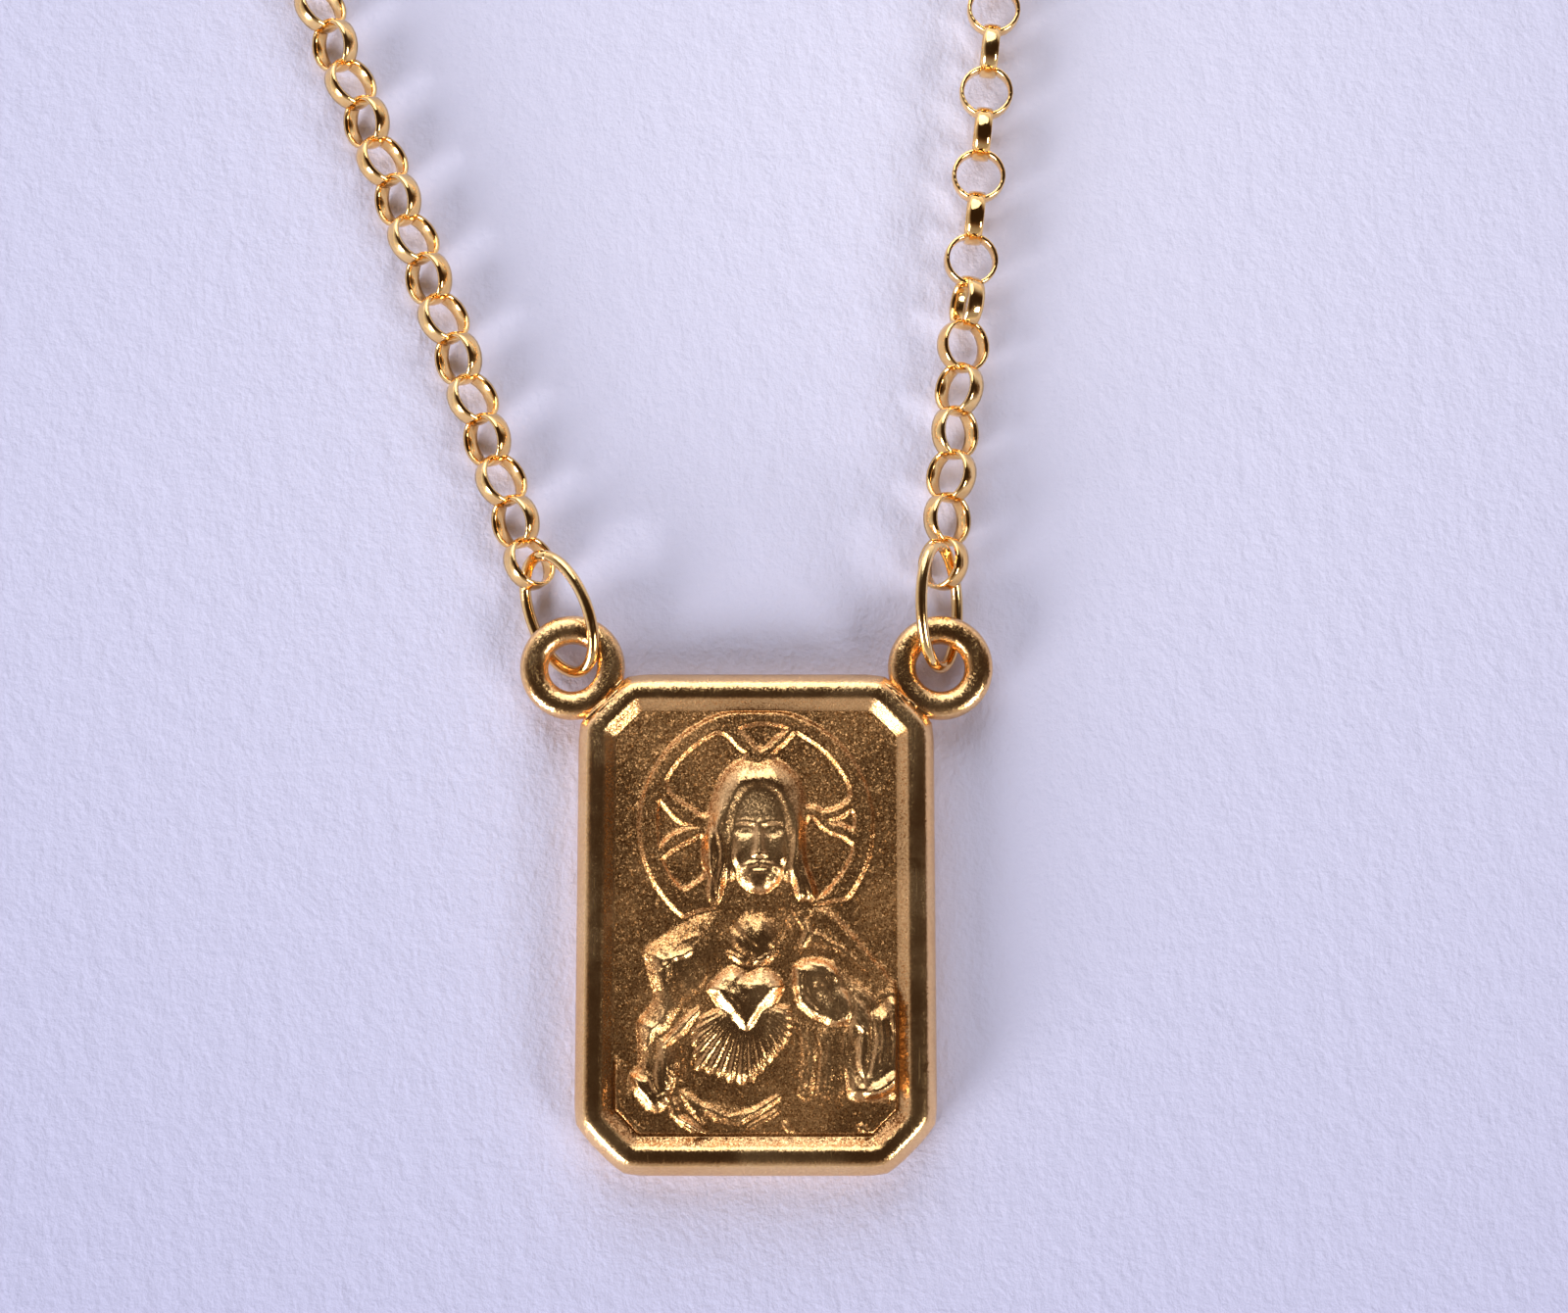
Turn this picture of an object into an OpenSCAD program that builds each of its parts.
// Medal necklace lying on a flat surface, face up.
// A cut-corner medal with a raised half-length figure hangs between two oval jump
// rings on a rolo chain, which runs round in a wide loop and closes with a ring clasp.
// Millimetres. The origin is the centre of the medal's flat back, +Z out of its face,
// +Y towards the figure's head and the clasp.

/* [Medal] */
// Width of the medal across its long sides
medal_w = 15; // [13:0.5:18]
// Height of the medal without its lugs
medal_h = 20.9; // [19:0.1:24]
// Leg of each corner that is cut at 45 degrees
corner_cut = 2; // [1.6:0.1:2.4]
// Thickness from the flat back to the top of the rolled rim
medal_t = 2.2; // [2:0.1:2.6]
// Width of the rolled rim
roll_w = 1; // [0.9:0.05:1.1]
// Width of the slope from the roll down to the field
slope_w = 0.45; // [0.35:0.05:0.5]
// Depth of the field below the top of the rim
field_d = 0.45; // [0.35:0.05:0.5]

/* [Lugs] */
// Outside diameter of each lug
lug_od = 4.45; // [4.2:0.05:4.6]
// Diameter of the hole through each lug
lug_hole = 2.05; // [1.95:0.05:2.15]
// Height of the lugs' middle plane above the back
lug_z = 1.2; // [1.15:0.05:1.25]
// Distance from the middle of the corner's cut to the lug's centre
lug_reach = 1.83; // [1.7:0.01:1.9]

/* [Chain] */
// Outside diameter of a round link
link_od = 2.36; // [2.34:0.01:2.38]
// Thickness of a link's band, from inside to outside
link_t = 0.15; // [0.14:0.01:0.15]
// Width of a link's band along the link's own axis
link_w = 0.75; // [0.7:0.01:0.75]
// Distance from one link's centre to the next before the strand is divided evenly
link_pitch = 1.925; // [1.92:0.005:1.93]
// Length of the whole closed necklace
necklace_l = 450; // [400:10:480]

/* [Rings and clasp] */
// Thickness of the oval jump rings' wire
ring_wire = 0.5; // [0.45:0.01:0.5]
// Thickness of the clasp's round body
clasp_wire = 1.2; // [1.1:0.05:1.2]
// Diameter of the clasp's body at the middle of its wire
clasp_d = 4.8; // [4.6:0.1:5.2]

/* [Hidden] */

gold = [0.86, 0.64, 0.25];
half_w = medal_w / 2;
half_h = medal_h / 2;
field_z = medal_t - field_d;
rim_w = roll_w + slope_w;

// Position of a lug: out from the middle of the corner's cut, at 45 degrees
lug_x = half_w - corner_cut / 2 + lug_reach * cos(45);
lug_y = half_h - corner_cut / 2 + lug_reach * sin(45);
lug_r = (lug_od - lug_hole) / 4;

// First link of each strand and the heading of the strand there, in degrees
// anticlockwise from straight up
left_start = [-9.7, 15.3];
right_start = [7.97, 15.3];
left_heading = 21;
right_heading = -5.6;
// The left strand bows to its right by this much over its first stretch
bow = 0.25;
bow_l = 25;

// Poses of the oval jump rings: centre, heading, roll about the long axis, pitch
left_ring = [[-8.38, 13.02, 1.46], 22.1, 44.2, 5];
right_ring = [[7.74, 13.26, 1.9], 4, 120.3, 18.8];
// Half length and half width of a jump ring at the middle of its wire
oval_a = 2.6;
oval_b = 1.7;

// The outline of the medal's inset by e, as one quarter's two corner points
function outline(e) =
    let (w = half_w - e, h = half_h - e, c = corner_cut - e * (2 - sqrt(2)))
    [[w, h - c], [w - c, h], [c - w, h], [-w, h - c],
     [-w, c - h], [c - w, -h], [w - c, -h], [w, c - h]];

// The rim's cross-section from the back to the field: inset and height
roll_r = roll_w / 2;
rim_profile = concat(
    [for (a = [270:-22.5:180]) [roll_r + roll_r * cos(a), roll_r + roll_r * sin(a)]],
    [for (a = [180:-22.5:45]) [roll_r + roll_r * cos(a), medal_t - roll_r + roll_r * sin(a)]],
    [[rim_w, field_z - 0.05]]);

// Height of the relief

// Rounded masses: centre x, centre y, half width, half height, rise
masses = [
    [0, 4.5, 2.1, 2.25, 0.38],      // hair over the crown
    [-1.75, 2.4, 0.6, 2.3, 0.34],   // hair falling on the left
    [1.85, 2.6, 0.6, 2.2, 0.34],    // hair falling on the right
    [0, 3.8, 1.4, 2.9, 0.56],       // head
    [0, 0.2, 1.1, 1.5, 0.34],       // neck
    [-0.1, -4.6, 5.3, 5.6, 0.3],    // body
    [-2.6, -1.8, 1.9, 1.8, 0.34],   // left shoulder
    [3, -1.7, 2.3, 2.2, 0.3],       // right shoulder
    [-3.6, -4.9, 1.15, 3.4, 0.42],  // left sleeve
    [5, -5.2, 1.3, 2.2, 0.42],      // right sleeve
    [2.5, -2.9, 1, 1, 0.5],         // right hand
    [-3.1, -2.1, 0.9, 0.9, 0.42],   // left hand
    [-0.35, -2.9, 1.7, 1.1, 0.5],   // heart
    [-0.35, -3.7, 1, 1.3, 0.5],     // point of the heart
    [-0.6, -6.9, 2.6, 1.5, 0.36],   // folds below the rays
    [-4.6, -7.3, 1.2, 1.1, 0.34],   // end of the left sleeve
    [4.7, -7.5, 1.5, 1.1, 0.34]];   // end of the right sleeve

// Ridges: start x, start y, end x, end y, half width, rise
ridges = [
    [-2.5, 0, -4.3, -1.2, 0.3, 0.2], [-4.3, -1.2, -4.1, -3.2, 0.3, 0.15],
    [-4.1, -3.2, -4.8, -5.6, 0.3, 0.2], [2.6, 0.5, 5.6, -2.6, 0.3, 0.2],
    [-1.8, -2.9, -0.4, -4.6, 0.25, 0.2], [1.1, -2.9, -0.4, -4.6, 0.25, 0.2],
    [-2.3, -3.3, -3.6, -4.7, 0.3, 0.2], [-5, -6.1, -3.95, -7.6, 0.35, 0.25],
    [3.6, -2.5, 6.2, -3.2, 0.4, 0.25], [4.5, -6.9, 6.1, -6.1, 0.4, 0.25],
    [1.8, -4.2, 1.8, -7.2, 0.25, 0.2], [2.6, -4.4, 2.7, -7.2, 0.25, 0.2],
    [3.4, -4.4, 3.4, -7, 0.25, 0.2], [-2.7, -6.8, -1.5, -7.2, 0.3, 0.2],
    [-1.5, -7.2, -0.4, -7.1, 0.3, 0.2], [-3, -7, -2.1, -8.1, 0.3, 0.2],
    [-2.1, -8.1, -0.8, -8.2, 0.3, 0.2], [-0.8, -8.2, 1, -7.2, 0.3, 0.2]];

// Rays of light: they fan out downwards from the heart between two angles
ray_centre = [-0.4, -3.6];
ray_in = 1.2;
ray_out = 3.2;
ray_from = -165;
ray_to = -10;
ray_step = 15.5;
rays = [for (a = [ray_from:ray_step:ray_to])
    [ray_centre.x + ray_in * cos(a), ray_centre.y + ray_in * sin(a),
     ray_centre.x + ray_out * cos(a), ray_centre.y + ray_out * sin(a), 0.2, 0.16]];

function dome(p, m) =
    let (q = pow((p.x - m[0]) / m[2], 2) + pow((p.y - m[1]) / m[3], 2))
    q < 1 ? m[4] * pow(1 - q, 0.6) : 0;
function ridge(p, r) =
    let (d = [r[2] - r[0], r[3] - r[1]],
         t = max(0, min(1, ((p.x - r[0]) * d.x + (p.y - r[1]) * d.y) / (d * d))),
         q = norm([p.x - r[0] - t * d.x, p.y - r[1] - t * d.y]) / r[4])
    q < 1.6 ? r[5] * exp(-1.5 * q * q) : 0;
function relief(p) = max([for (m = masses) dome(p, m)])
    + max([for (r = concat(ridges, rays)) ridge(p, r)]);

// The relief fades out before the rim's slope
sheet_inset = roll_w + 0.3;
fade_w = 0.3;
function edge_gap(p) = min(half_w - abs(p.x), half_h - abs(p.y),
    (half_w + half_h - corner_cut - abs(p.x) - abs(p.y)) / sqrt(2));
function sheet_z(p) =
    field_z + relief(p) * max(0, min(1, (edge_gap(p) - rim_w) / fade_w));

// The sheet of relief: a grid whose sides follow the cut corners
sheet_cols = 36;
sheet_rows = 52;
sheet_base = 1;
function sheet_x(y) = min(half_w - sheet_inset,
    half_w + half_h - corner_cut - sheet_inset * sqrt(2) - abs(y));
function sheet_row_y(j) = (half_h - sheet_inset) * (2 * j / sheet_rows - 1);
module relief_sheet() {
    top = [for (j = [0:sheet_rows], i = [0:sheet_cols])
        let (y = sheet_row_y(j), x = sheet_x(y) * (2 * i / sheet_cols - 1))
        [x, y, sheet_z([x, y])]];
    across = sheet_cols + 1;
    last_row = sheet_rows * across;
    border = concat(
        [for (i = [0:sheet_cols]) i],
        [for (j = [1:sheet_rows]) j * across + sheet_cols],
        [for (i = [sheet_cols - 1:-1:0]) last_row + i],
        [for (j = [sheet_rows - 1:-1:1]) j * across]);
    n = len(border);
    first = len(top);
    base = [for (b = border) [top[b].x, top[b].y, sheet_base]];
    polyhedron(
        points = concat(top, base),
        faces = concat(
            [for (j = [0:sheet_rows - 1], i = [0:sheet_cols - 1], k = [0, 1])
                let (a = j * across + i)
                k == 0 ? [a, a + across, a + 1] : [a + 1, a + across, a + across + 1]],
            [for (k = [0:n - 1]) [first + k, border[k], border[(k + 1) % n],
                first + (k + 1) % n]],
            [[for (k = [n - 1:-1:0]) first + k]]));
}

// Plate and rolled rim: flat trapezoids between insets of the outline
module rimmed_plate() {
    n = len(rim_profile);
    points = [for (s = rim_profile, p = outline(s[0])) [p.x, p.y, s[1]]];
    polyhedron(
        points = points,
        faces = concat(
            [[for (k = [0:7]) k]],
            [for (s = [0:n - 2], k = [0:7])
                [s * 8 + k, (s + 1) * 8 + k, (s + 1) * 8 + (k + 1) % 8, s * 8 + (k + 1) % 8]],
            [[for (k = [7:-1:0]) (n - 1) * 8 + k]]));
}

// Halo: an open ring round the head
halo_centre = [0, 4.1];
halo_r = 4.9;
halo_wire = 0.12;
halo_from = -42;
halo_sweep = 264;
module halo() {
    translate([halo_centre.x, halo_centre.y, field_z])
        rotate([0, 0, halo_from])
            rotate_extrude(angle = halo_sweep, $fn = 72)
                translate([halo_r, 0]) circle(r = halo_wire, $fn = 16);
}

module lug(side) {
    translate([side * lug_x, lug_y, lug_z])
        rotate_extrude($fn = 64)
            translate([lug_hole / 2 + lug_r, 0]) circle(r = lug_r, $fn = 32);
}

module medal() {
    color(gold) union() {
        rimmed_plate();
        relief_sheet();
        halo();
        lug(-1);
        lug(1);
    }
}

// Oval jump ring: round wire swept along an ellipse
ring_steps = 32;
wire_sides = 8;
module oval_ring() {
    points = [for (i = [0:ring_steps - 1], k = [0:wire_sides - 1])
        let (t = 360 * i / ring_steps, f = 360 * k / wire_sides,
             centre = [oval_b * cos(t), oval_a * sin(t), 0],
             normal = [oval_a * cos(t), oval_b * sin(t), 0],
             out = normal / norm(normal))
        centre + ring_wire / 2 * (out * cos(f) + [0, 0, sin(f)])];
    polyhedron(
        points = points,
        faces = [for (i = [0:ring_steps - 1], k = [0:wire_sides - 1], h = [0, 1])
            let (i2 = (i + 1) % ring_steps, k2 = (k + 1) % wire_sides,
                 a = i * wire_sides + k, b = i2 * wire_sides + k,
                 c = i2 * wire_sides + k2, d = i * wire_sides + k2)
            h == 0 ? [a, b, c] : [a, c, d]]);
}
module posed_ring(pose) {
    color(gold) translate(pose[0]) rotate([0, 0, pose[1]]) rotate([pose[3], 0, 0])
        rotate([0, -pose[2], 0]) oval_ring();
}
module jump_ring_left() { posed_ring(left_ring); }
module jump_ring_right() { posed_ring(right_ring); }

// Route of the chain: straight strands from the medal, and two arcs of one radius
// that join them to a straight stretch at the top, which holds the clasp
function along(heading) = [-sin(heading), cos(heading)];
function cross2(a, b) = a.x * b.y - a.y * b.x;
half_spread = (left_heading - right_heading) / 2;
mid_heading = (left_heading + right_heading) / 2;
meet = left_start + along(left_heading)
    * cross2(right_start - left_start, along(right_heading))
    / cross2(along(left_heading), along(right_heading));
left_lead = norm(left_start - meet);
right_lead = norm(right_start - meet);
ring_stretch = 4.9;
route_l = necklace_l - 2 * lug_x - 2 * ring_stretch;
arc_turn = 90 + half_spread;

// The clasp lies flat. From its centre to the last link of each strand:
eye_d = 2.3;
eye_wire = 0.5;
eye_sunk = 0.2;
eye_x = clasp_d / 2 + clasp_wire / 2 + eye_d / 2 - eye_sunk;
eye_slack = 0.22;
clasp_to_left = eye_x + eye_d / 2 + eye_wire / 2 + eye_slack;
end_ring_d = 3.8;
end_ring_slack = 0.1;
end_ring_x = clasp_d / 2 + end_ring_slack;
end_ring_to_link = 1.85;
clasp_to_right = end_ring_x + end_ring_to_link;
clasp_l = clasp_to_left + clasp_to_right;

arc_r = (route_l + left_lead + right_lead - clasp_l - clasp_l / sin(half_spread))
    / (2 / tan(half_spread) + 2 * arc_turn * PI / 180);
tangent_l = (clasp_l / 2 + arc_r * cos(half_spread)) / sin(half_spread);
left_straight = tangent_l - left_lead;
right_straight = tangent_l - right_lead;
arc_l = arc_r * arc_turn * PI / 180;

// Links in each strand: an odd number on the left, so that its last link stands in
// the clasp's eye, and an even number on the right, so that its last link lies flat
left_count = 2 * round((left_straight + arc_l) / link_pitch / 2) + 1;
right_count = 2 * round(((right_straight + arc_l) / link_pitch + 1) / 2);
left_pitch = (left_straight + arc_l) / (left_count - 1);
right_pitch = (right_straight + arc_l) / (right_count - 1);

// Point and heading at distance s along a strand; side is -1 on the left, 1 on the right
function strand_point(s, start, heading, straight, side) =
    s <= straight ? start + s * along(heading)
    : let (a = (s - straight) / arc_r * 180 / PI,
           centre = start + straight * along(heading)
               - side * arc_r * [cos(heading), sin(heading)])
      centre + side * arc_r * [cos(heading + side * a), sin(heading + side * a)];
function strand_heading(s, heading, straight, side) =
    heading + side * max(0, s - straight) / arc_r * 180 / PI;

// Smooth step from 0 at a to 1 at b
function ease(s, a, b) = let (t = max(0, min(1, (s - a) / (b - a)))) t * t * (3 - 2 * t);

// Roll of a link about the strand, in degrees: neighbours stand at right angles,
// and turn a further eighth over a short stretch: the left strand's before the clasp,
// the right strand's a little above the medal
left_l = left_straight + arc_l;
left_turn = [left_l - 20, left_l - 4];
right_turn = [6, 16];
function left_roll(i, s) = 45 - 90 * (i % 2) + 45 * ease(s, left_turn[0], left_turn[1]);
function right_roll(i, s) = -45 + 90 * (i % 2) - 45 * ease(s, right_turn[0], right_turn[1]);

// Cross-section of a link's band, and the height at which a link rolled by f rests
link_ro = link_od / 2;
link_ri = link_ro - link_t;
band_inner = 0.15;
band_outer = 0.2;
band = [[link_ri, band_inner], [link_ri + link_t / 2, link_w / 2], [link_ro, band_outer]];
function reach(f) = max([for (p = band) p[0] * abs(sin(f)) + p[1] * abs(cos(f))]);
function rest_z(f) = max(reach(f), reach(f + 90));

module link() {
    rotate_extrude($fn = 48) polygon([
        [band[0][0], -band[0][1]], [band[1][0], -band[1][1]], [band[2][0], -band[2][1]],
        band[2], band[1], band[0]]);
}
module placed_link(p, heading, roll) {
    translate([p.x, p.y, rest_z(roll)]) rotate([0, 0, heading]) rotate([0, roll, 0]) link();
}
module chain_left() {
    color(gold) for (i = [0:left_count - 1]) {
        s = i * left_pitch;
        p = strand_point(s, left_start, left_heading, left_straight, -1);
        sway = s < bow_l ? bow * sin(180 * s / bow_l) : 0;
        placed_link(p + sway * [cos(left_heading), sin(left_heading)],
            strand_heading(s, left_heading, left_straight, -1), left_roll(i, s));
    }
}
module chain_right() {
    color(gold) for (i = [0:right_count - 1]) {
        s = i * right_pitch;
        placed_link(strand_point(s, right_start, right_heading, right_straight, 1),
            strand_heading(s, right_heading, right_straight, 1), right_roll(i, s));
    }
}

// The clasp's centre and direction, from the left strand's last link
left_end = strand_point(left_l, left_start, left_heading, left_straight, -1);
clasp_turn = mid_heading;
clasp_centre = left_end + clasp_to_left * [cos(clasp_turn), sin(clasp_turn)];
module at_clasp() {
    translate([clasp_centre.x, clasp_centre.y, 0]) rotate([0, 0, clasp_turn]) children();
}
module wire_ring(d, wire) {
    rotate_extrude($fn = 72) translate([d / 2, 0]) circle(d = wire, $fn = 32);
}
module clasp() {
    color(gold) at_clasp() union() {
        translate([0, 0, lug_z]) wire_ring(clasp_d, clasp_wire);
        translate([-eye_x, 0, lug_z]) wire_ring(eye_d, eye_wire);
    }
}
module end_ring() {
    color(gold) at_clasp()
        translate([end_ring_x, 0, (end_ring_d + ring_wire) / 2])
            rotate([90, 0, 0]) wire_ring(end_ring_d, ring_wire);
}

medal();
jump_ring_left();
jump_ring_right();
chain_left();
chain_right();
clasp();
end_ring();
